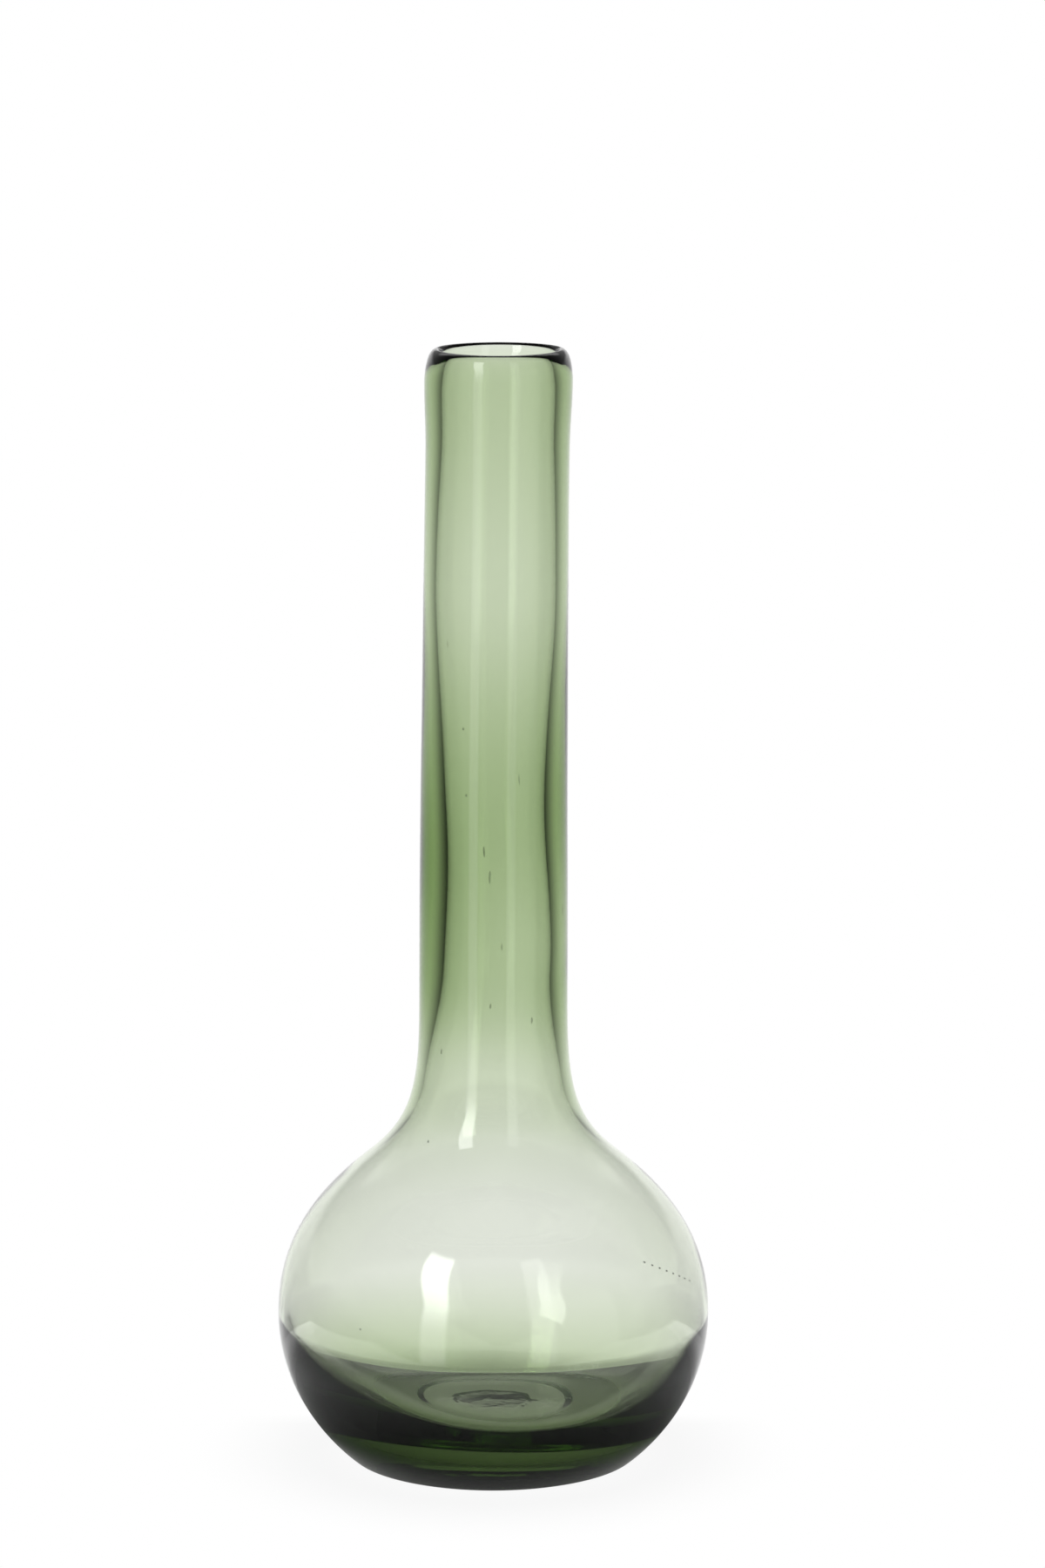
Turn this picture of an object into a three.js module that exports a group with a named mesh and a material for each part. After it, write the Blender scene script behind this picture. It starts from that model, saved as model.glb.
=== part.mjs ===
// Flask vase: one mouth-blown bubble of solid green glass, with a long thick-walled neck, a round
// thin-walled bulb and a heavy flat base. It is a single piece of glass: wall, base and rolled lip were
// never separate. Millimetres, +Z up. The origin is the centre of the base, on the surface it stands on.
import * as THREE from "three";

// Heights above the table
const HEIGHT = 280; // top of the lip
const BELLY_HEIGHT = 36.5; // where the bulb is widest
const SHOULDER_HEIGHT = 76.7; // where the bulb's round turns into the neck's sweep
const NECK_ROOT_HEIGHT = 116; // where the sweep has become the neck
const NECK_WAIST_HEIGHT = 256; // the neck's narrowest place, below the lip

// Radii of the outside
const FOOT_RADIUS = 36; // edge of the ground flat that the vase stands on
const BELLY_RADIUS = 54.3;
const SHOULDER_RADIUS = 32;
const NECK_ROOT_RADIUS = 18.6;
const NECK_WAIST_RADIUS = 17.8;
const LIP_RADIUS = 18.3;

// How far each curve of the bulb runs on along its tangent before it turns
const FOOT_REACH = 7;
const BELLY_REACH_DOWN = 19.5;
const BELLY_REACH_UP = 19;
const SHOULDER_REACH_DOWN = 15.8;
const SHOULDER_REACH_UP = 15.2;
const NECK_ROOT_REACH = 21;

// Slopes of the outside, in degrees from the horizontal
const FOOT_SLOPE = 38;
const SHOULDER_SLOPE = 39;

// Glass thickness, square to the outside
const LIP_WALL = 4.3;
const UPPER_NECK_WALL = 3.15;
const MIDDLE_NECK_WALL = 6.2;
const LOWER_NECK_WALL = 5.1;
const SWEEP_WALL = 2.6;
const BULB_WALL = 1;
const BASE_THICKNESS = 7.7; // from the table up to the cavity's floor

// Where each of those thicknesses is
const UPPER_NECK_WALL_HEIGHT = 222;
const MIDDLE_NECK_WALL_HEIGHT = 159;
const LOWER_NECK_WALL_HEIGHT = 124;
const SWEEP_WALL_HEIGHT = 96;
const BULB_WALL_HEIGHT = 72;

// The rolled lip: a long slope outside and a tight round inside, with the crest between them
const LIP_ARCH_OUTSIDE = 8; // from the lip's widest place up to its top
const LIP_ARCH_INSIDE = 2.4;
const LIP_CREST_INSET = 3.3; // from the lip's widest place in to its crest

// The cavity's level floor, and how far its bowl runs on along the tangents of its two ends
const FLOOR_RADIUS = 20;
const FLOOR_REACH = 25.5;
const BOWL_BELLY_REACH = 6.6;

// The ground hollow under the base, where the pontil rod was broken off: a flat inside a sloping shelf
const PONTIL_RADIUS = 21.3;
const PONTIL_FLAT_RADIUS = 19.1;
const PONTIL_DEPTH = 1.5;

// Hand-made glass isn't quite true: the neck bends aside by this much at the lip, from its sweep on, and
// the cavity's bowl wanders off the axis by this much at its floor
const NECK_LEAN = 1.6;
const LEAN_START_HEIGHT = 85;
const BOWL_DRIFT = 3;

// How finely the surfaces are cut into flat faces
const SEGMENTS_ROUND = 64;
const STEPS = { foot: 7, belly: 7, sweep: 7, neck: 9, flare: 2, lip: 4, bowl: 12 };

const point = (radius, height) => new THREE.Vector2(radius, height);

// The hollow under the base, from the axis out to its rim
function pontilHollow() {
  return [point(0, PONTIL_DEPTH), point(PONTIL_FLAT_RADIUS, PONTIL_DEPTH), point(PONTIL_RADIUS, 0)];
}

// The bulb below its widest place, from the ground flat up
function lowerBulb() {
  const slope = THREE.MathUtils.degToRad(FOOT_SLOPE);
  return new THREE.CubicBezierCurve(
    point(FOOT_RADIUS, 0),
    point(FOOT_RADIUS + FOOT_REACH * Math.cos(slope), FOOT_REACH * Math.sin(slope)),
    point(BELLY_RADIUS, BELLY_HEIGHT - BELLY_REACH_DOWN),
    point(BELLY_RADIUS, BELLY_HEIGHT),
  );
}

// The bulb above its widest place, and the hollow sweep into the neck
function upperBulb() {
  const slope = THREE.MathUtils.degToRad(SHOULDER_SLOPE);
  const along = point(-Math.cos(slope), Math.sin(slope));
  const shoulder = point(SHOULDER_RADIUS, SHOULDER_HEIGHT);
  const bulb = new THREE.CubicBezierCurve(
    point(BELLY_RADIUS, BELLY_HEIGHT),
    point(BELLY_RADIUS, BELLY_HEIGHT + BELLY_REACH_UP),
    shoulder.clone().addScaledVector(along, -SHOULDER_REACH_DOWN),
    shoulder,
  );
  const sweep = new THREE.CubicBezierCurve(
    shoulder,
    shoulder.clone().addScaledVector(along, SHOULDER_REACH_UP),
    point(NECK_ROOT_RADIUS, NECK_ROOT_HEIGHT - NECK_ROOT_REACH),
    point(NECK_ROOT_RADIUS, NECK_ROOT_HEIGHT),
  );
  return [bulb, sweep];
}

// The neck's outside, from its root to the widest place of the lip, with upright ends
function neckCurves() {
  const lipHeight = HEIGHT - LIP_ARCH_OUTSIDE;
  const third = (NECK_WAIST_HEIGHT - NECK_ROOT_HEIGHT) / 3;
  const toLip = (lipHeight - NECK_WAIST_HEIGHT) / 3;
  return [
    new THREE.CubicBezierCurve(
      point(NECK_ROOT_RADIUS, NECK_ROOT_HEIGHT),
      point(NECK_ROOT_RADIUS, NECK_ROOT_HEIGHT + third),
      point(NECK_WAIST_RADIUS, NECK_WAIST_HEIGHT - third),
      point(NECK_WAIST_RADIUS, NECK_WAIST_HEIGHT),
    ),
    new THREE.CubicBezierCurve(
      point(NECK_WAIST_RADIUS, NECK_WAIST_HEIGHT),
      point(NECK_WAIST_RADIUS, NECK_WAIST_HEIGHT + toLip),
      point(LIP_RADIUS, lipHeight - toLip),
      point(LIP_RADIUS, lipHeight),
    ),
  ];
}

// The rounded end of the wall, over its top from outside to inside
function lipArch() {
  const crest = LIP_RADIUS - LIP_CREST_INSET;
  const outerBase = HEIGHT - LIP_ARCH_OUTSIDE;
  const innerBase = HEIGHT - LIP_ARCH_INSIDE;
  const top = Math.PI / 2;
  return [
    new THREE.EllipseCurve(crest, outerBase, LIP_CREST_INSET, LIP_ARCH_OUTSIDE, 0, top),
    new THREE.EllipseCurve(crest, innerBase, LIP_WALL - LIP_CREST_INSET, LIP_ARCH_INSIDE, top, Math.PI),
  ];
}

// Thickness of the wall at a height, eased from each named place to the next
function wallAt(height) {
  const places = [
    [BULB_WALL_HEIGHT, BULB_WALL],
    [SWEEP_WALL_HEIGHT, SWEEP_WALL],
    [LOWER_NECK_WALL_HEIGHT, LOWER_NECK_WALL],
    [MIDDLE_NECK_WALL_HEIGHT, MIDDLE_NECK_WALL],
    [UPPER_NECK_WALL_HEIGHT, UPPER_NECK_WALL],
    [HEIGHT - LIP_ARCH_INSIDE, LIP_WALL],
  ];
  const next = places.findIndex(([place]) => place >= height);
  if (next === 0) return BULB_WALL;
  if (next < 0) return LIP_WALL;
  const [[low, lowWall], [high, highWall]] = [places[next - 1], places[next]];
  return THREE.MathUtils.lerp(lowWall, highWall, THREE.MathUtils.smoothstep(height, low, high));
}

// The inside of the wall, from the lip down to the cavity's widest place, taken square to the outside
function insideOfWall(curves) {
  const inside = [];
  for (const [curve, steps] of curves) {
    for (let i = 0; i <= steps; i++) {
      const on = curve.getPoint(i / steps);
      const tangent = curve.getTangent(i / steps);
      const wall = wallAt(on.y);
      const at = point(on.x - tangent.y * wall, on.y + tangent.x * wall);
      if (at.y < HEIGHT - LIP_ARCH_INSIDE) inside.push(at);
    }
  }
  return inside.reverse();
}

// The cavity's bowl, from its widest place down to the edge of its level floor
function cavityBowl() {
  const widest = BELLY_RADIUS - BULB_WALL;
  return new THREE.CubicBezierCurve(
    point(widest, BELLY_HEIGHT),
    point(widest, BELLY_HEIGHT - BOWL_BELLY_REACH),
    point(FLOOR_RADIUS + FLOOR_REACH, BASE_THICKNESS),
    point(FLOOR_RADIUS, BASE_THICKNESS),
  );
}

// The whole section of the glass: out from the axis under the base, up, over the lip and down inside
function section() {
  const [bulb, sweep] = upperBulb();
  const [neck, flare] = neckCurves();
  const [archOutside, archInside] = lipArch();
  const outside = [
    [lowerBulb(), STEPS.foot],
    [bulb, STEPS.belly],
    [sweep, STEPS.sweep],
    [neck, STEPS.neck],
    [flare, STEPS.flare],
    [archOutside, STEPS.lip],
    [archInside, STEPS.lip],
  ];
  const wall = [[bulb, STEPS.belly], [sweep, STEPS.sweep], [neck, STEPS.neck], [flare, STEPS.flare]];
  const points = pontilHollow();
  points.push(...outside.flatMap(([curve, steps]) => curve.getPoints(steps)));
  points.push(...insideOfWall(wall), ...cavityBowl().getPoints(STEPS.bowl));
  points.push(point(0, BASE_THICKNESS));
  const apart = 0.02;
  return points.filter((p, i) => i === 0 || p.distanceTo(points[i - 1]) > apart);
}

// Turns the section round the axis, stands it up, bends the neck aside and lets the bowl wander
function blownGlass() {
  const points = section();
  const firstOfBowl = points.length - STEPS.bowl - 1;
  const turned = new THREE.LatheGeometry(points, SEGMENTS_ROUND);
  turned.rotateX(Math.PI / 2);
  const position = turned.getAttribute("position");
  const leanLength = HEIGHT - LEAN_START_HEIGHT;
  const bowlDepth = BELLY_HEIGHT - BASE_THICKNESS;
  for (let i = 0; i < position.count; i++) {
    const inBowl = i % points.length >= firstOfBowl;
    const above = Math.max(position.getZ(i) - LEAN_START_HEIGHT, 0) / leanLength;
    const below = inBowl ? Math.max(BELLY_HEIGHT - position.getZ(i), 0) / bowlDepth : 0;
    position.setX(i, position.getX(i) + NECK_LEAN * above ** 2 + BOWL_DRIFT * below ** 2);
  }
  turned.computeVertexNormals();
  return turned;
}

const greenGlass = new THREE.MeshStandardMaterial({
  color: 0x9db48a,
  roughness: 0.03,
  metalness: 0,
  transparent: true,
  opacity: 0.45,
});

const vase = new THREE.Group();
const glass = new THREE.Mesh(blownGlass(), greenGlass);
glass.name = "blown_glass_vessel";
vase.add(glass);

export default vase;
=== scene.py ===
# A flask vase of clear green glass, blown in one piece: a heavy flat base, a round bulb, a long thick-walled
# neck and a rolled lip. Lengths are in metres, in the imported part's own frame.
import math

import bpy
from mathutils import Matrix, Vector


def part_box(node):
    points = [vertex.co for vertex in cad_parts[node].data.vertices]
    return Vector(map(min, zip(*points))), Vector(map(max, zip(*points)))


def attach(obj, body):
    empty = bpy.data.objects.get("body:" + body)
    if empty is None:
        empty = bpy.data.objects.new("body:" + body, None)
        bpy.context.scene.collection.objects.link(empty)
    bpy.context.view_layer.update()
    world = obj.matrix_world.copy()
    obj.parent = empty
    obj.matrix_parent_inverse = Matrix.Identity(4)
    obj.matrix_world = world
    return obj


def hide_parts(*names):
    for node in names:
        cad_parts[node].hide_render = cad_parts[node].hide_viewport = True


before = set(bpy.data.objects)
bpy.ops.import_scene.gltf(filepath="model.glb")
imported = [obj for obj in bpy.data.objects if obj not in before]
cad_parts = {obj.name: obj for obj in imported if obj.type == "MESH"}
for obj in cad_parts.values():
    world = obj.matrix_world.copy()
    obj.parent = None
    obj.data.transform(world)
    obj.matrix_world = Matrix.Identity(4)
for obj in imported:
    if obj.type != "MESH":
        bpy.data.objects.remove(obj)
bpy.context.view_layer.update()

MM = 0.001

# Heights of the glass above the table
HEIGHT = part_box("blown_glass_vessel")[1].z
BELLY_HEIGHT = 36.5 * MM
SHOULDER_HEIGHT = 76.7 * MM
NECK_ROOT_HEIGHT = 116 * MM
NECK_WAIST_HEIGHT = 256 * MM

# Radii of the outside
FOOT_RADIUS = 36 * MM
BELLY_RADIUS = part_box("blown_glass_vessel")[1].x
SHOULDER_RADIUS = 32 * MM
NECK_ROOT_RADIUS = 18.6 * MM
NECK_WAIST_RADIUS = 17.8 * MM
LIP_RADIUS = 18.3 * MM

# How far each curve runs on along its tangent before it turns, and the slopes of two of the tangents
FOOT_REACH = 7 * MM
BELLY_REACH_DOWN = 19.5 * MM
BELLY_REACH_UP = 19 * MM
SHOULDER_REACH_DOWN = 15.8 * MM
SHOULDER_REACH_UP = 15.2 * MM
NECK_ROOT_REACH = 21 * MM
FOOT_SLOPE = math.radians(38)
SHOULDER_SLOPE = math.radians(39)

# The thickness of the glass, square to the outside: (height, thickness)
BULB_WALL = 1 * MM
LIP_WALL = 4.3 * MM
WALL = [
    (72 * MM, BULB_WALL),
    (96 * MM, 2.6 * MM),
    (124 * MM, 5.1 * MM),
    (159 * MM, 6.2 * MM),
    (222 * MM, 3.15 * MM),
    (275.4 * MM, LIP_WALL),
]

# The rolled lip: a long slope outside and a tight round inside
LIP_ARCH_OUTSIDE = 8 * MM
LIP_ARCH_INSIDE = 2.4 * MM
LIP_CREST_INSET = 3.3 * MM

# The cavity's level floor, and how far its bowl runs on along the tangents of its two ends
BASE_THICKNESS = 7.7 * MM
FLOOR_RADIUS = 20 * MM
FLOOR_REACH = 25.5 * MM
BOWL_BELLY_REACH = 6.6 * MM

# The ground hollow under the base, the rounding of its shelf, and the bevel of the foot's edge
PONTIL_RADIUS = 21.3 * MM
PONTIL_FLAT_RADIUS = 19.1 * MM
PONTIL_DEPTH = 1.5 * MM
SHELF_ROUND = 0.5 * MM
FOOT_BEVEL = 0.5 * MM

# The level stretches of the section: the radii of the two ends, with two between them that space its points
HOLLOW_STRETCH = (0, 6 * MM, 13 * MM, PONTIL_FLAT_RADIUS)
RING_EDGE = FOOT_RADIUS - FOOT_BEVEL
RING_STRETCH = (PONTIL_RADIUS, PONTIL_RADIUS + 5 * MM, RING_EDGE - 5 * MM, RING_EDGE)
FLOOR_STRETCH = (FLOOR_RADIUS, 14 * MM, 7 * MM, 0)

# Hand-made glass isn't quite true: the neck leans, the cavity's bowl wanders off the axis towards its floor,
# and so does the bore, over the heights from which and up to which it fades in and out
NECK_LEAN = 1.6 * MM
LEAN_START_HEIGHT = 85 * MM
BOWL_DRIFT = 3 * MM
BORE_DRIFT = 0.8 * MM
BORE_DRIFT_BELOW = (105 * MM, 136 * MM)
BORE_DRIFT_ABOVE = (178 * MM, 140 * MM)

# The lip's crest wanders too: it runs near the inside of the wall at the front, and farther out at the back.
# The last pair is how far round it turns from the one to the other, as the Y of a direction from the axis
CREST_DRIFT = 1.4 * MM
CREST_DEPTH = 6 * MM
CREST_TURN = (-0.3, 0.8)

# How far the inside and the outside wave, over what length, and how far apart in the noise the two are taken.
# They are calm near the lip and the foot
INSIDE_WAVE = 0.25 * MM
OUTSIDE_WAVE = 0.12 * MM
WAVE_LENGTH = 45 * MM
WAVE_INSIDE_SLICE = 3
CALM_LIP = (HEIGHT - 6 * MM, HEIGHT - 30 * MM)
CALM_FOOT = (9 * MM, 18 * MM)

# The scar where the pontil rod broke off: a slanting chip in the hollow, deepest at the front, with a ragged
# edge (a share of its radii) and a ragged floor. A noise is its scale, detail and roughness
SCAR_CENTRE = (0.5 * MM, -3 * MM)
SCAR_RADII = (11 * MM, 9 * MM)
SCAR_SLOPE = math.radians(4.5)
SCAR_NOISE = (160, 2.0, 0.5)
SCAR_EDGE = (1.0, 0.9)
SCAR_RAGGED_EDGE = 0.6
SCAR_RAGGED_FLOOR = 0.4 * MM
SCAR_LEAST_DEPTH = 0.1 * MM
SCAR_UNDER = (PONTIL_DEPTH + 0.3 * MM, PONTIL_DEPTH + 0.1 * MM)

# Seeds, which are small bubbles drawn long by the blowing: azimuth in degrees from -Y towards +X, height and
# length. Each is tilted by up to four degrees
SEEDS = [
    (-8.3, 157.5 * MM, 2.6 * MM),
    (-3.2, 151.2 * MM, 3.2 * MM),
    (-27.5, 188 * MM, 0.6 * MM),
    (-24.6, 171.4 * MM, 0.6 * MM),
    (-2.1, 118.8 * MM, 1.2 * MM),
    (33.9, 114.6 * MM, 1.6 * MM),
    (-45.9, 106.2 * MM, 1.4 * MM),
    (-42.1, 84.4 * MM, 0.8 * MM),
    (-37.3, 43.3 * MM, 0.5 * MM),
    (150, 170 * MM, 2.6 * MM),
    (-120, 205 * MM, 2.0 * MM),
    (95, 140 * MM, 2.4 * MM),
    (175, 128 * MM, 1.8 * MM),
]
SEED_WIDTH = 0.36 * MM
SEED_TILT = 4

# A string of fine seeds runs down and round the right of the bulb, from one azimuth and height to another.
# They lie along it, by their tilt from upright in degrees
STRING = ((49.8, 57.3 * MM), (69.2, 49.1 * MM))
STRING_SEEDS = 8
STRING_SEED_LENGTH = 0.9 * MM
STRING_TILT = 116

# The glass: how strongly it bends light, and the green that light takes on inside it
GLASS_IOR = 1.52
GREEN = (0.44, 0.593, 0.227, 1)
GREEN_DENSITY = 150

# The finish: the ground ring is matt, smudges dull the skin a little, and the cords are very shallow
MATT_EDGE = 0.3 * MM
MATT_HEIGHT = (0.3 * MM, 0.1 * MM)
MATT_ROUGHNESS = 0.35
MATT_GRAIN = 0.3
GRAIN_NOISE = (900, 3.0, 0.6)
SMUDGE_DULLNESS = 0.02
SMUDGE_SHARE = (0.5, 0.75)
SMUDGE_NOISE = (35, 3.0, 0.6)
CORD_DEPTH = 0.2 * MM
CORD_STRENGTH = 0.02
CORD_SQUEEZE = (1, 1, 0.06)
CORD_NOISE = (420, 2.0, 0.5)

# How finely the glass is drawn, the radius of the wide circle that its section is swept round, and how close
# points have to be to be merged
SEGMENTS_ROUND = 192
PROFILE_STEP = 1.6 * MM
NECK_STEP = 2.4 * MM
UNDERSIDE_STEP = 0.5 * MM
ARCH_STEPS = 14
TURNING_RADIUS = 100 * MM
MERGED = 0.002 * MM

# These keep a division by a distance from the axis clear of zero, in the glass and in the world
OFF_AXIS = 0.001 * MM
OFF_POLE = 0.0001

# The photograph's camera: 1.45 m away, a little above the lip, with a long lens, looking down by some degrees
CAMERA_PLACE = (7.35 * MM, -1.45, 435.1 * MM)
CAMERA_PITCH = 10.3
CAMERA_LENS = 136.1

# The table ends close behind the vase, and the white sweep starts there, with the vase's shade painted on it.
# The painted shade ends between these distances behind the vase, nearer by a share of the distance to the
# side and at most by this, and far out to the side most of it is gone
TABLE_SIDE = 300 * MM
TABLE_FRONT = -160 * MM
TABLE_EDGE = 34 * MM
TABLE_DROP = 0.1 * MM
SWEEP_SHADE = (46 * MM, 78 * MM)
SHADE_SLOPE = 0.3
SHADE_NEARER = 11 * MM
SHADE_ASIDE = (130 * MM, 220 * MM)
SHADE_GONE = 0.8
SHADED_SWEEP = 0.5

# The table's grey, with the vase's shade painted into it near the vase and plain farther out, and the white
# that it shows through the glass
TABLE_PAINTED_SHADE = (40 * MM, 90 * MM)
TABLE_GREY = (0.13, 0.4)
TABLE_SHOWN_FROM = (50 * MM, 100 * MM)
TABLE_SHOWN = 0.5

# A painted pool of light that glows on the table under the base, where the base would gather light: its
# strength at the back and at the front, and how far it spills
PAINTED_POOL = (0.13, 0.25)
PAINTED_POOL_FRONT = (34 * MM, -14 * MM)
PAINTED_POOL_SPILL = 12 * MM

# The soft shadow that the camera sees on the table
SHADOW = 0.08
SHADOW_SPREAD = (80 * MM, 40 * MM)
SHADOW_BACK = 12 * MM

# The studio. A pair says from where to where a light rises to its full strength: angles in degrees from
# straight behind the vase, and heights as the Z of a direction
SWEEP_SIDES = (77, 16)
SWEEP_TOP = (0.3, 0.1)
HIGH_SWEEP_SIDES = (50, 25)
HIGH_SWEEP_FOOT = (0.33, 0.5)
HIGH_SWEEP_TOP = (0.85, 0.65)
BACK_ROOM_TOP = (0.9, 0.25)
BACK_ROOM = 0.25
FRONT_ROOM_SIDES = (105, 145)
FRONT_ROOM = 0.17
FLOOR_LINE = (-0.6, -0.2)
DARK_ROOM = 0.05
PALE_ROOM_SIDES = (70, 88)
PALE_ROOM = 0.9
FACES_OF_BOTH_WALLS = 4
OVERHEAD = (0.45, 0.85)
OVERHEAD_LIGHT = 1.7

# The softboxes: their edges at the foot and at the top, in degrees of azimuth from the camera's side towards
# +X, how soft the edges are, and the heights between which they turn from the first edges to the second
LEFT_BOX = ((-39, -25), (-52, -31))
RIGHT_BOX = ((20.5, 34), (21.5, 38))
SIDE_WALL = ((34, 70), (34, 70))
BOX_SOFTNESS = 1.5
BOX_TURN = (0.3, 0.8)
BOX_FOOT = (-0.3, -0.2)
BOX_TOP = (0.81, 0.78)
LEFT_BOX_LIGHT = 1.1
LEFT_BOX_HIGH_LIGHT = 4
LEFT_BOX_RISE = (0.0, 0.6)
RIGHT_BOX_LIGHT = 0.9
WALL_FOOT = (-0.35, -0.2)
WALL_TOP = (0.5, 0.3)
WALL_LIGHT = 0.3


class Number:
    """A socket with one number. Sums on it add Math nodes to its tree, so that a pattern reads as Python."""

    def __init__(self, tree, socket):
        self.tree = tree
        self.socket = socket

    def math(self, operation, *others):
        sockets = dict(enumerate((self, *others)))
        node = self.tree.add("ShaderNodeMath", {"operation": operation}, sockets)
        return Number(self.tree, node.outputs[0])

    def __add__(self, other):
        return self.math("ADD", other)

    def __sub__(self, other):
        return self.math("SUBTRACT", other)

    def __rsub__(self, other):
        return (self * -1) + other

    def __mul__(self, other):
        return self.math("MULTIPLY", other)

    def __truediv__(self, other):
        return self.math("DIVIDE", other)

    def __gt__(self, other):
        return self.math("GREATER_THAN", other)

    def __lt__(self, other):
        return self.math("LESS_THAN", other)

    __radd__ = __add__
    __rmul__ = __mul__

    def least(self, other):
        return self.math("MINIMUM", other)

    def most(self, other):
        return self.math("MAXIMUM", other)

    def eased(self, low, high):
        """0 below low and 1 above high, with a smooth rise between. It falls where low is above high."""
        sockets = {"Value": self, "From Min": low, "From Max": high}
        ranged = self.tree.add("ShaderNodeMapRange", {"interpolation_type": "SMOOTHSTEP"}, sockets)
        return Number(self.tree, ranged.outputs[0])

    def turned(self, low, high):
        """The same for an angle, with low and high in degrees."""
        return self.eased(math.radians(low), math.radians(high))


class Tree:
    """A node tree, with the one method that adds a node to it."""

    def __init__(self, tree):
        self.tree = tree
        tree.nodes.clear()

    def add(self, kind, settings=None, sockets=None):
        """Adds a node of a kind, then its settings, then the values or links of its sockets."""
        node = self.tree.nodes.new(kind)
        for name, value in (settings or {}).items():
            setattr(node, name, value)
        for key, value in (sockets or {}).items():
            self.feed(node.inputs[key], value)
        return node

    def feed(self, socket, value):
        if isinstance(value, Number):
            value = value.socket
        if isinstance(value, bpy.types.NodeSocket):
            self.tree.links.new(value, socket)
        else:
            socket.default_value = value

    def number(self, node):
        """The first output of a node."""
        return Number(self, node.outputs[0])

    def parts(self, vector):
        """The X, Y and Z of a vector socket."""
        split = self.add("ShaderNodeSeparateXYZ", None, {0: vector})
        return [Number(self, socket) for socket in split.outputs]

    def noise(self, place, scale, detail, roughness):
        sockets = {"Vector": place, "Scale": scale, "Detail": detail, "Roughness": roughness}
        return self.number(self.add("ShaderNodeTexNoise", {"noise_dimensions": "3D"}, sockets))


def along(start, direction, reach):
    return (start[0] + direction[0] * reach, start[1] + direction[1] * reach)


def bend(start, out, into, end, step=PROFILE_STEP):
    """A cubic curve from start towards out, arriving at end from into, as points a small step apart."""
    length = math.dist(start, out) + math.dist(out, into) + math.dist(into, end)
    steps = max(4, math.ceil(length / step))
    points = []
    for i in range(steps + 1):
        t = i / steps
        weights = ((1 - t) ** 3, 3 * (1 - t) ** 2 * t, 3 * (1 - t) * t * t, t ** 3)
        pulls = list(zip(weights, (start, out, into, end)))
        points.append(tuple(sum(weight * place[k] for weight, place in pulls) for k in (0, 1)))
    return points


def level(radii, height, step=PROFILE_STEP):
    """A level stretch of the section."""
    return bend(*((radius, height) for radius in radii), step)


def arch(centre, across, up, start, end):
    """Part of an ellipse, from a start angle to an end angle in degrees."""
    points = []
    for i in range(ARCH_STEPS + 1):
        angle = math.radians(start + (end - start) * i / ARCH_STEPS)
        points.append((centre[0] + across * math.cos(angle), centre[1] + up * math.sin(angle)))
    return points


def underside():
    """The ground foot, from the axis out to its edge: a shallow hollow with a sloping shelf round it."""
    flat_edge = (PONTIL_FLAT_RADIUS, PONTIL_DEPTH)
    rim = (PONTIL_RADIUS, 0)
    flat = level(HOLLOW_STRETCH, PONTIL_DEPTH, UNDERSIDE_STEP)
    shelf = bend(flat_edge, along(flat_edge, (1, 0), SHELF_ROUND), along(rim, (-1, 0), SHELF_ROUND), rim)
    return flat + shelf + level(RING_STRETCH, 0)


def outside():
    """The outside of the wall, from the foot's edge to the widest place of the lip."""
    foot_way = (math.cos(FOOT_SLOPE), math.sin(FOOT_SLOPE))
    shoulder_way = (-math.cos(SHOULDER_SLOPE), math.sin(SHOULDER_SLOPE))
    corner = (FOOT_RADIUS, 0)
    foot = along(corner, foot_way, FOOT_BEVEL)
    belly = (BELLY_RADIUS, BELLY_HEIGHT)
    shoulder = (SHOULDER_RADIUS, SHOULDER_HEIGHT)
    root = (NECK_ROOT_RADIUS, NECK_ROOT_HEIGHT)
    waist = (NECK_WAIST_RADIUS, NECK_WAIST_HEIGHT)
    lip = (LIP_RADIUS, HEIGHT - LIP_ARCH_OUTSIDE)
    third = (NECK_WAIST_HEIGHT - NECK_ROOT_HEIGHT) / 3
    flare = (lip[1] - NECK_WAIST_HEIGHT) / 3
    up = (0, 1)
    down = (0, -1)
    below_shoulder = along(shoulder, shoulder_way, -SHOULDER_REACH_DOWN)
    above_shoulder = along(shoulder, shoulder_way, SHOULDER_REACH_UP)
    return (
        bend(foot, along(corner, foot_way, FOOT_REACH), along(belly, down, BELLY_REACH_DOWN), belly)
        + bend(belly, along(belly, up, BELLY_REACH_UP), below_shoulder, shoulder)
        + bend(shoulder, above_shoulder, along(root, down, NECK_ROOT_REACH), root)
        + bend(root, along(root, up, third), along(waist, down, third), waist, NECK_STEP)
        + bend(waist, along(waist, up, flare), along(lip, down, flare), lip)
    )


def wall_at(height):
    """How thick the wall is at a height of its outside."""
    if height <= WALL[0][0]:
        return WALL[0][1]
    for (low, low_wall), (high, high_wall) in zip(WALL, WALL[1:]):
        if height <= high:
            t = (height - low) / (high - low)
            return low_wall + (high_wall - low_wall) * t * t * (3 - 2 * t)
    return WALL[-1][1]


def inside(outline):
    """The inside of the wall, from the lip down to the widest place of the cavity."""
    points = []
    for before, here, after in zip(outline, outline[1:], outline[2:]):
        run = (after[0] - before[0], after[1] - before[1])
        length = math.hypot(*run)
        wall = wall_at(here[1])
        points.append((here[0] - run[1] / length * wall, here[1] + run[0] / length * wall))
    kept = [p for p in points if BELLY_HEIGHT < p[1] < HEIGHT - LIP_ARCH_INSIDE]
    return kept[::-1]


def spaced(points, apart):
    return [p for i, p in enumerate(points) if i == 0 or math.dist(p, points[i - 1]) > apart]


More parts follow.
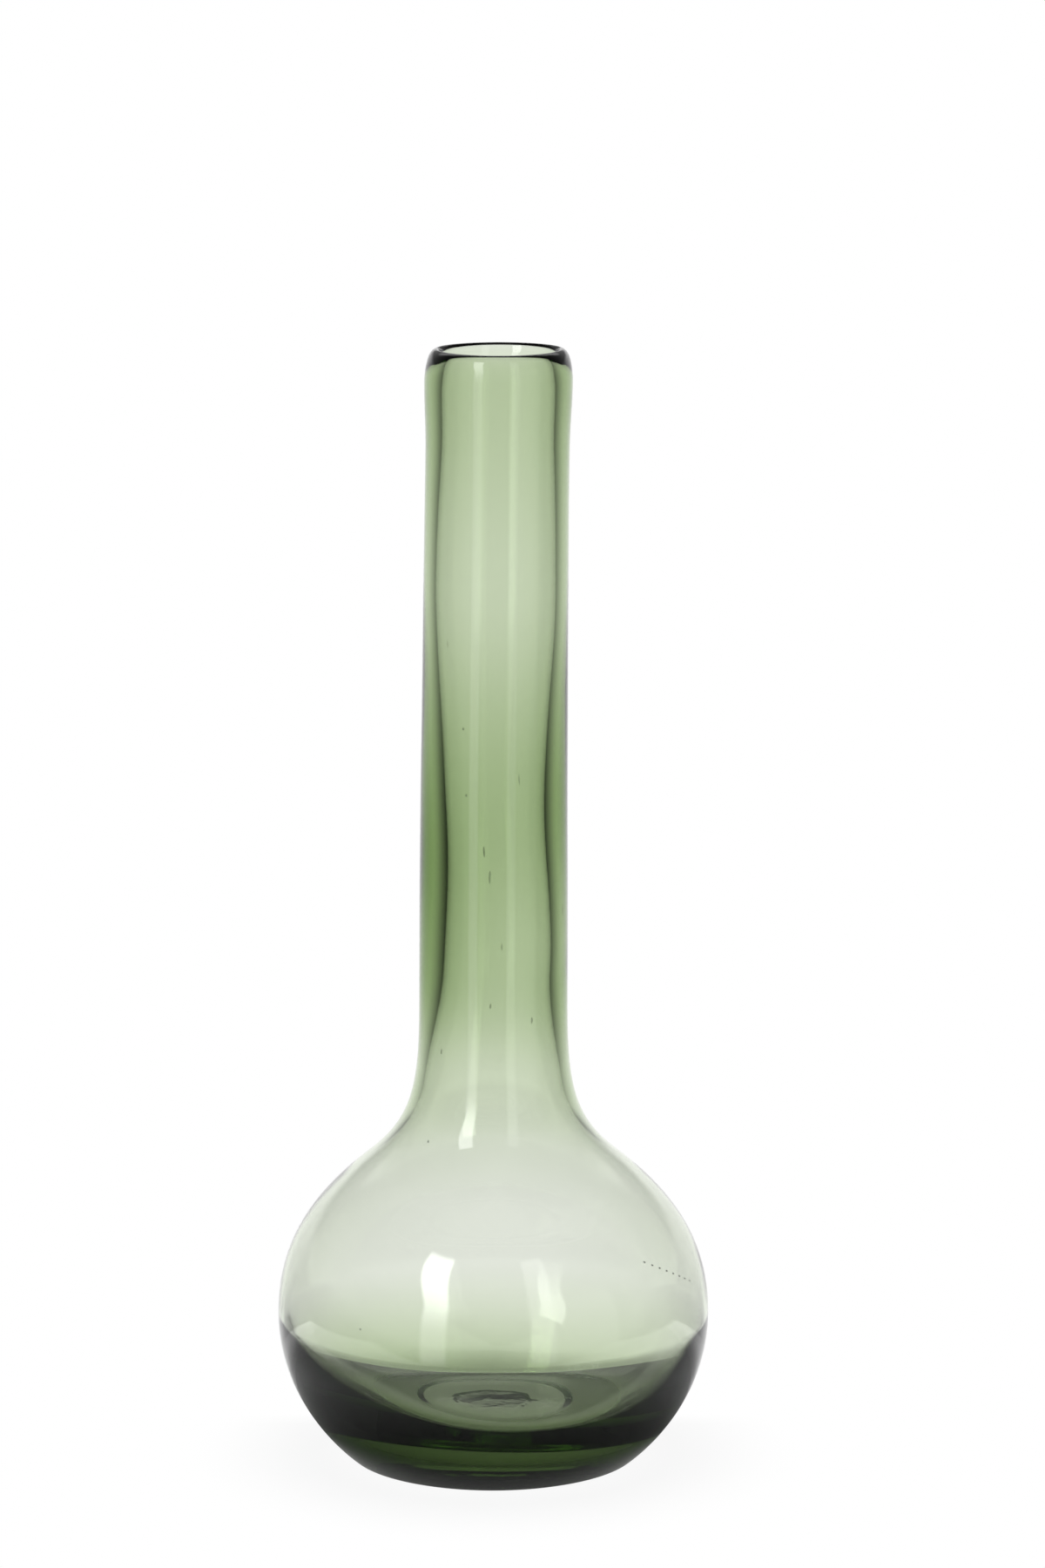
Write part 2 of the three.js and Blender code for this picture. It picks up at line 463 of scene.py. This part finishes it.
def section():
    """The section of the glass: from the axis under the base, up, over the lip and down to the floor."""
    outline = outside()
    crest = LIP_RADIUS - LIP_CREST_INSET
    over = arch((crest, HEIGHT - LIP_ARCH_OUTSIDE), LIP_CREST_INSET, LIP_ARCH_OUTSIDE, 0, 90)
    inset = LIP_WALL - LIP_CREST_INSET
    back = arch((crest, HEIGHT - LIP_ARCH_INSIDE), inset, LIP_ARCH_INSIDE, 90, 180)
    widest = (BELLY_RADIUS - BULB_WALL, BELLY_HEIGHT)
    floor = (FLOOR_RADIUS, BASE_THICKNESS)
    bowl = bend(widest, along(widest, (0, -1), BOWL_BELLY_REACH), along(floor, (1, 0), FLOOR_REACH), floor)
    apart = 0.02 * MM
    outer = spaced(underside() + outline + over, apart)
    inner = spaced(back + inside(outline) + bowl + level(FLOOR_STRETCH, BASE_THICKNESS), apart)
    return outer + inner[1:], len(outer)


def section_curve(points):
    """The section as an open curve in the XY plane of its own object, X outwards and Y up."""
    curve = bpy.data.curves.new("glass_section", "CURVE")
    curve.dimensions = "3D"
    spline = curve.splines.new("POLY")
    spline.points.add(len(points) - 1)
    for place, (radius, height) in zip(spline.points, points):
        place.co = (radius, height, 0, 1)
    section_object = bpy.data.objects.new("glass_section", curve)
    bpy.context.scene.collection.objects.link(section_object)
    return section_object


def waved(tree, place, is_inside):
    """A small sideways offset: the glass waves, the inside more than the outside."""
    z = tree.parts(place)[2]
    slow = {"Vector": place, "W": is_inside * WAVE_INSIDE_SLICE, "Scale": 1 / WAVE_LENGTH, "Detail": 1.0}
    flow = tree.add("ShaderNodeTexNoise", {"noise_dimensions": "4D"}, slow).outputs["Color"]
    across, over, _ = tree.parts(flow)
    amount = (is_inside * (INSIDE_WAVE - OUTSIDE_WAVE) + OUTSIDE_WAVE) * 2
    amount = amount * z.eased(*CALM_LIP) * z.eased(*CALM_FOOT)
    return (across - 0.5) * amount, (over - 0.5) * amount


def scarred(tree, place):
    """How far up the pontil scar is chipped into the underside."""
    x, y, z = tree.parts(place)
    ragged = tree.noise(place, *SCAR_NOISE) - 0.5
    off_x = (x - SCAR_CENTRE[0]) / SCAR_RADII[0]
    off_y = (y - SCAR_CENTRE[1]) / SCAR_RADII[1]
    from_centre = (off_x * off_x + off_y * off_y).math("SQRT") + ragged * SCAR_RAGGED_EDGE
    chip = from_centre.eased(*SCAR_EDGE) * z.eased(*SCAR_UNDER)
    back = SCAR_CENTRE[1] + SCAR_RADII[1]
    slant = ((y * -1 + back) * math.tan(SCAR_SLOPE)).most(0)
    return chip * (slant + ragged * SCAR_RAGGED_FLOOR + SCAR_LEAST_DEPTH).most(0)


def radius_at(outline, height):
    """The radius of the outside at a height, between the two nearest points of its outline."""
    for (low_radius, low), (high_radius, high) in zip(outline, outline[1:]):
        if low < high and low <= height <= high:
            return low_radius + (high_radius - low_radius) * (height - low) / (high - low)
    return outline[-1][0]


def tilted_seeds():
    """All the seeds: azimuth, height, length and tilt from upright."""
    seeds = []
    for azimuth, height, length in SEEDS:
        seeds.append((azimuth, height, length, azimuth % (2 * SEED_TILT + 1) - SEED_TILT))
    (first_azimuth, first_height), (last_azimuth, last_height) = STRING
    for i in range(STRING_SEEDS):
        t = i / (STRING_SEEDS - 1)
        azimuth = first_azimuth + (last_azimuth - first_azimuth) * t
        height = first_height + (last_height - first_height) * t
        seeds.append((azimuth, height, STRING_SEED_LENGTH, STRING_TILT))
    return seeds


def seed_bubbles(tree):
    """The seeds as small hollows in the middle of the wall, their faces turned towards the hollow."""
    round_bubble = {"Radius": SEED_WIDTH / 2, "Subdivisions": 3}
    bubble = tree.add("GeometryNodeMeshIcoSphere", None, round_bubble).outputs[0]
    hollow = tree.add("GeometryNodeFlipFaces", None, {"Mesh": bubble}).outputs[0]
    outline = outside()
    seeds = []
    for azimuth, height, length, tilt in tilted_seeds():
        radius = radius_at(outline, height) - wall_at(height) / 2
        around = math.radians(azimuth)
        lean = NECK_LEAN * (max(height - LEAN_START_HEIGHT, 0) / (HEIGHT - LEAN_START_HEIGHT)) ** 2
        placing = {
            "Geometry": hollow,
            "Translation": (radius * math.sin(around) + lean, -radius * math.cos(around), height),
            "Rotation": (0, math.radians(tilt), around),
            "Scale": (1, 1, length / SEED_WIDTH),
        }
        seeds.append(tree.add("GeometryNodeTransform", None, placing).outputs[0])
    return seeds


def turning_tree(material, first_inside):
    """A geometry tree that turns a section into closed glass and gives it the hand's small errors."""
    group = bpy.data.node_groups.new("turned_glass", "GeometryNodeTree")
    inputs = {
        "Section": ("NodeSocketGeometry", None),
        "Segments round": ("NodeSocketInt", SEGMENTS_ROUND),
        "Turning radius": ("NodeSocketFloat", TURNING_RADIUS),
        "Neck lean": ("NodeSocketFloat", NECK_LEAN),
        "Lean start height": ("NodeSocketFloat", LEAN_START_HEIGHT),
        "Height": ("NodeSocketFloat", HEIGHT),
        "First inside point": ("NodeSocketInt", first_inside),
        "Bowl drift": ("NodeSocketFloat", BOWL_DRIFT),
        "Belly height": ("NodeSocketFloat", BELLY_HEIGHT),
        "Floor height": ("NodeSocketFloat", BASE_THICKNESS),
        "Bore drift": ("NodeSocketFloat", BORE_DRIFT),
    }
    for name, (kind, value) in inputs.items():
        socket = group.interface.new_socket(name=name, in_out="INPUT", socket_type=kind)
        if value is not None:
            socket.default_value = value
    group.interface.new_socket(name="Glass", in_out="OUTPUT", socket_type="NodeSocketGeometry")
    tree = Tree(group)
    given = tree.add("NodeGroupInput").outputs
    radius = Number(tree, given["Turning radius"])

    # The section is swept round a wide circle, and moved in by its radius, so that it ends on the axis
    wide = {"Resolution": given["Segments round"], "Radius": radius}
    circle = tree.add("GeometryNodeCurvePrimitiveCircle", None, wide)
    inwards = tree.add("ShaderNodeCombineXYZ", None, {"X": radius * -1})
    index = tree.number(tree.add("GeometryNodeInputIndex"))
    past_lip = index > Number(tree, given["First inside point"])
    marking = {"Geometry": given["Section"], "Name": "inside", "Value": past_lip}
    on_points = {"data_type": "FLOAT", "domain": "POINT"}
    marked = tree.add("GeometryNodeStoreNamedAttribute", on_points, marking)
    placing = {"Geometry": marked.outputs[0], "Translation": inwards.outputs[0], "Scale": (1, -1, 1)}
    moved = tree.add("GeometryNodeTransform", None, placing)
    sweeping = {"Curve": circle.outputs[0], "Profile Curve": moved.outputs[0]}
    swept = tree.add("GeometryNodeCurveToMesh", None, sweeping)
    outward = tree.add("GeometryNodeFlipFaces", None, {"Mesh": swept.outputs[0]})
    closing = {"Geometry": outward.outputs[0], "Distance": MERGED}
    closed = tree.add("GeometryNodeMergeByDistance", None, closing)

    # The hand's errors move its points
    place = tree.add("GeometryNodeInputPosition").outputs[0]
    x, y, z = tree.parts(place)
    start = Number(tree, given["Lean start height"])
    above = (z - start).most(0) / (Number(tree, given["Height"]) - start)
    lean = above * above * Number(tree, given["Neck lean"])
    stored = tree.add("GeometryNodeInputNamedAttribute", {"data_type": "FLOAT"}, {"Name": "inside"})
    is_inside = tree.number(stored)
    belly = Number(tree, given["Belly height"])
    below = (belly - z).most(0) / (belly - Number(tree, given["Floor height"]))
    bowl_drift = is_inside * below * below * Number(tree, given["Bowl drift"])
    bore = z.eased(*BORE_DRIFT_BELOW) * z.eased(*BORE_DRIFT_ABOVE)
    bore_drift = is_inside * bore * Number(tree, given["Bore drift"])
    wave_x, wave_y = waved(tree, place, is_inside)
    from_axis = (x * x + y * y).math("SQRT") + OFF_AXIS
    at_back = (y / from_axis).eased(*CREST_TURN)
    crest = z.eased(HEIGHT - CREST_DEPTH, HEIGHT) * at_back * CREST_DRIFT / from_axis
    offset = {
        "X": lean + bowl_drift + bore_drift + wave_x + crest * x,
        "Y": wave_y + crest * y,
        "Z": scarred(tree, place),
    }
    moved_by = tree.add("ShaderNodeCombineXYZ", None, offset).outputs[0]
    moving = {"Geometry": closed.outputs[0], "Offset": moved_by}
    shaped = tree.add("GeometryNodeSetPosition", None, moving)

    # The seeds join it, and the whole is made one plain mesh of one material
    joined = tree.add("GeometryNodeJoinGeometry")
    for part in (shaped.outputs[0], *seed_bubbles(tree)):
        tree.feed(joined.inputs[0], part)
    smooth = tree.add("GeometryNodeSetShadeSmooth", None, {"Geometry": joined.outputs[0]})
    whole = tree.add("GeometryNodeRealizeInstances", None, {"Geometry": smooth.outputs[0]})
    dressing = {"Geometry": whole.outputs[0], "Material": material}
    dressed = tree.add("GeometryNodeSetMaterial", None, dressing)
    tree.add("NodeGroupOutput", None, {"Glass": dressed.outputs[0]})
    return group


def blown_glass(material):
    """The vase's one piece, as a plain mesh."""
    points, first_inside = section()
    source = section_curve(points)
    modifier = source.modifiers.new("turning", "NODES")
    modifier.node_group = turning_tree(material, first_inside)
    evaluated = source.evaluated_get(bpy.context.evaluated_depsgraph_get())
    mesh = bpy.data.meshes.new_from_object(evaluated)
    mesh.name = "blown_glass"
    bpy.data.objects.remove(source)
    piece = bpy.data.objects.new("blown_glass", mesh)
    bpy.context.scene.collection.objects.link(piece)
    return piece


def green_glass():
    """Clear glass that is tinted all through, so that it darkens with its thickness."""
    material = bpy.data.materials.new("green_glass")
    material.use_nodes = True
    tree = Tree(material.node_tree)
    place = tree.add("ShaderNodeTexCoord").outputs["Object"]
    x, y, z = tree.parts(place)
    radius = (x * x + y * y).math("SQRT")

    # The foot's ring is ground on a stone and stays matt
    ring = radius.eased(PONTIL_RADIUS - MATT_EDGE, PONTIL_RADIUS + MATT_EDGE) * z.eased(*MATT_HEIGHT)
    grain = tree.noise(place, *GRAIN_NOISE)
    smudges = tree.noise(place, *SMUDGE_NOISE).eased(*SMUDGE_SHARE) * SMUDGE_DULLNESS
    roughness = ring * (grain * MATT_GRAIN + MATT_ROUGHNESS) + smudges

    # Cords: faint streaks that the blowing drew along the wall
    stretched = tree.add("ShaderNodeMapping", None, {"Vector": place, "Scale": CORD_SQUEEZE}).outputs[0]
    cords = tree.noise(stretched, *CORD_NOISE)
    drawn = {"Strength": CORD_STRENGTH, "Distance": CORD_DEPTH, "Height": cords}
    skin = tree.add("ShaderNodeBump", None, drawn).outputs[0]
    look = {
        "Base Color": (1, 1, 1, 1),
        "Roughness": roughness,
        "IOR": GLASS_IOR,
        "Transmission Weight": 1.0,
        "Normal": skin,
    }
    surface = tree.add("ShaderNodeBsdfPrincipled", None, look)
    green = {"Color": GREEN, "Density": GREEN_DENSITY}
    tint = tree.add("ShaderNodeVolumeAbsorption", None, green)
    whole = {"Surface": surface.outputs[0], "Volume": tint.outputs[0]}
    tree.add("ShaderNodeOutputMaterial", None, whole)
    return material


def softbox(azimuth, z, box):
    """Where an upright strip softbox shows. Its edges move from the first pair of azimuths to the second."""
    up = z.eased(*BOX_TURN)
    soft = math.radians(BOX_SOFTNESS)
    start, end = (up * math.radians(high - low) + math.radians(low) for low, high in zip(*box))
    return (azimuth - start).eased(-soft, soft) * (azimuth - end).eased(soft, -soft)


def studio_world():
    """Plain white to the camera. The glass shows a white sweep and two softboxes, in a dim room."""
    world = bpy.data.worlds.new("studio")
    world.use_nodes = True
    bpy.context.scene.world = world
    tree = Tree(world.node_tree)
    x, y, z = tree.parts(tree.add("ShaderNodeTexCoord").outputs["Generated"])
    rays = tree.add("ShaderNodeLightPath").outputs
    camera = Number(tree, rays["Is Camera Ray"])
    through = Number(tree, rays["Is Transmission Ray"])
    mirrored = Number(tree, rays["Is Glossy Ray"])

    # The sweep stands behind the vase, in a room that is dim at the sides and a little lighter in front
    behind = (y / (x * x + y * y + OFF_POLE).math("SQRT")).math("ARCCOSINE")
    sweep_side = behind.turned(*SWEEP_SIDES)
    sweep = sweep_side * z.eased(*SWEEP_TOP)
    high_sweep = behind.turned(*HIGH_SWEEP_SIDES) * z.eased(*HIGH_SWEEP_FOOT) * z.eased(*HIGH_SWEEP_TOP)
    front = behind.turned(*FRONT_ROOM_SIDES) * z.eased(*FLOOR_LINE)
    dim = z.eased(*BACK_ROOM_TOP) * BACK_ROOM * sweep_side + front * FRONT_ROOM + DARK_ROOM

    # What passes through both walls of the vase sees white in front and beside it too, as the camera does
    past_both = (Number(tree, rays["Transmission Depth"]) > FACES_OF_BOTH_WALLS - 0.5) * through
    pale = behind.turned(*PALE_ROOM_SIDES) * z.eased(*FLOOR_LINE) * PALE_ROOM
    room = dim.most(past_both * pale)

    # The softboxes and the side wall. Azimuth runs from the camera's side towards +X
    azimuth = x.math("ARCTAN2", y * -1)
    foot = z.eased(*BOX_FOOT)
    top = z.eased(*BOX_TOP)
    left_light = foot * LEFT_BOX_LIGHT + z.eased(*LEFT_BOX_RISE) * LEFT_BOX_HIGH_LIGHT
    left = softbox(azimuth, z, LEFT_BOX) * left_light * top
    right = softbox(azimuth, z, RIGHT_BOX) * foot * RIGHT_BOX_LIGHT * top
    wall = softbox(azimuth, z, SIDE_WALL) * z.eased(*WALL_FOOT) * z.eased(*WALL_TOP) * WALL_LIGHT
    seen = sweep.most(room).most(high_sweep) + left + right + wall

    # Light that falls on dull surfaces comes mostly from above
    falling = seen.most(z.eased(*OVERHEAD) * OVERHEAD_LIGHT)
    looked = (through + mirrored).least(1) * (Number(tree, rays["Diffuse Depth"]) < 0.5)
    strength = camera + (1 - camera) * (looked * seen + (1 - looked) * falling)
    light = tree.add("ShaderNodeBackground", None, {"Color": (1, 1, 1, 1), "Strength": strength})
    tree.add("ShaderNodeOutputWorld", None, {"Surface": light.outputs[0]})


def glow(tree, strength):
    """White light of a strength, as a shader socket."""
    return tree.add("ShaderNodeEmission", None, {"Color": (1, 1, 1, 1), "Strength": strength}).outputs[0]


def pale_table():
    """The table's top and the first of the white sweep, both white to the camera but for a soft shadow."""
    material = bpy.data.materials.new("pale_table")
    material.use_nodes = True
    tree = Tree(material.node_tree)
    x, y, _ = tree.parts(tree.add("ShaderNodeTexCoord").outputs["Object"])
    radius = (x * x + y * y).math("SQRT")
    rays = tree.add("ShaderNodeLightPath").outputs
    # The table's grey darkens near the vase: a painted shade of the vase, put into its colour
    shaded_grey, open_grey = TABLE_GREY
    grey_with_painted_shade = radius.eased(*TABLE_PAINTED_SHADE) * (open_grey - shaded_grey) + shaded_grey
    pale = tree.add("ShaderNodeCombineXYZ", None, {0: grey_with_painted_shade, 1: grey_with_painted_shade, 2: grey_with_painted_shade}).outputs[0]
    wood = tree.add("ShaderNodeBsdfDiffuse", None, {"Color": pale}).outputs[0]

    # The thick base would work as a lens and gather the light from behind on the front half of what it stands
    # on; this pool of light is painted on the table as a glow
    at_back, at_front = PAINTED_POOL
    painted_pool = y.eased(*PAINTED_POOL_FRONT) * (at_front - at_back) + at_back
    painted_pool = painted_pool * radius.eased(FOOT_RADIUS + PAINTED_POOL_SPILL, FOOT_RADIUS)
    shown = Number(tree, rays["Is Transmission Ray"]) * radius.eased(*TABLE_SHOWN_FROM) * TABLE_SHOWN
    top = tree.add("ShaderNodeAddShader", None, {0: wood, 1: glow(tree, painted_pool.most(shown))}).outputs[0]

    # The first of the sweep glows dimmer there: a painted shade of the vase
    aside = x.math("ABSOLUTE")
    unshaded = (y + (aside * SHADE_SLOPE).least(SHADE_NEARER)).eased(*SWEEP_SHADE)
    unshaded = unshaded.most(aside.eased(*SHADE_ASIDE) * SHADE_GONE)
    sweep = glow(tree, unshaded * (1 - SHADED_SWEEP) + SHADED_SWEEP)
    lit = tree.add("ShaderNodeMixShader", None, {0: y > TABLE_EDGE, 1: top, 2: sweep}).outputs[0]

    shadow = radius.eased(*SHADOW_SPREAD) * y.eased(TABLE_EDGE, TABLE_EDGE - SHADOW_BACK) * SHADOW
    whiteness = Number(tree, rays["Is Camera Ray"]) * (1 - shadow)
    mixed = tree.add("ShaderNodeMixShader", None, {0: whiteness, 1: lit, 2: glow(tree, 1.0)})
    tree.add("ShaderNodeOutputMaterial", None, {"Surface": mixed.outputs[0]})
    return material


def table_top():
    """A table whose edges are close to the vase, with the first of the white sweep behind it."""
    mesh = bpy.data.meshes.new("table_top")
    corners = [
        (-TABLE_SIDE, TABLE_FRONT, 0),
        (TABLE_SIDE, TABLE_FRONT, 0),
        (TABLE_SIDE, SWEEP_SHADE[1], 0),
        (-TABLE_SIDE, SWEEP_SHADE[1], 0),
    ]
    mesh.from_pydata(corners, [], [(0, 1, 2, 3)])
    mesh.materials.append(pale_table())
    table = bpy.data.objects.new("table_top", mesh)
    bpy.context.scene.collection.objects.link(table)
    table.location.z = -TABLE_DROP
    return table


def camera():
    """The photograph's camera."""
    data = bpy.data.cameras.new("camera")
    data.sensor_width = 36
    data.lens = CAMERA_LENS
    holder = bpy.data.objects.new("camera", data)
    bpy.context.scene.collection.objects.link(holder)
    holder.location = CAMERA_PLACE
    holder.rotation_euler = (math.radians(90 - CAMERA_PITCH), 0, 0)
    bpy.context.scene.camera = holder


scene = bpy.context.scene
scene.view_settings.view_transform = "Standard"
scene.cycles.max_bounces = 32
scene.cycles.transmission_bounces = 32
scene.cycles.glossy_bounces = 16

camera()
studio_world()
table_top()

vase = blown_glass(green_glass())
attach(vase, "root")
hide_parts("blown_glass_vessel")
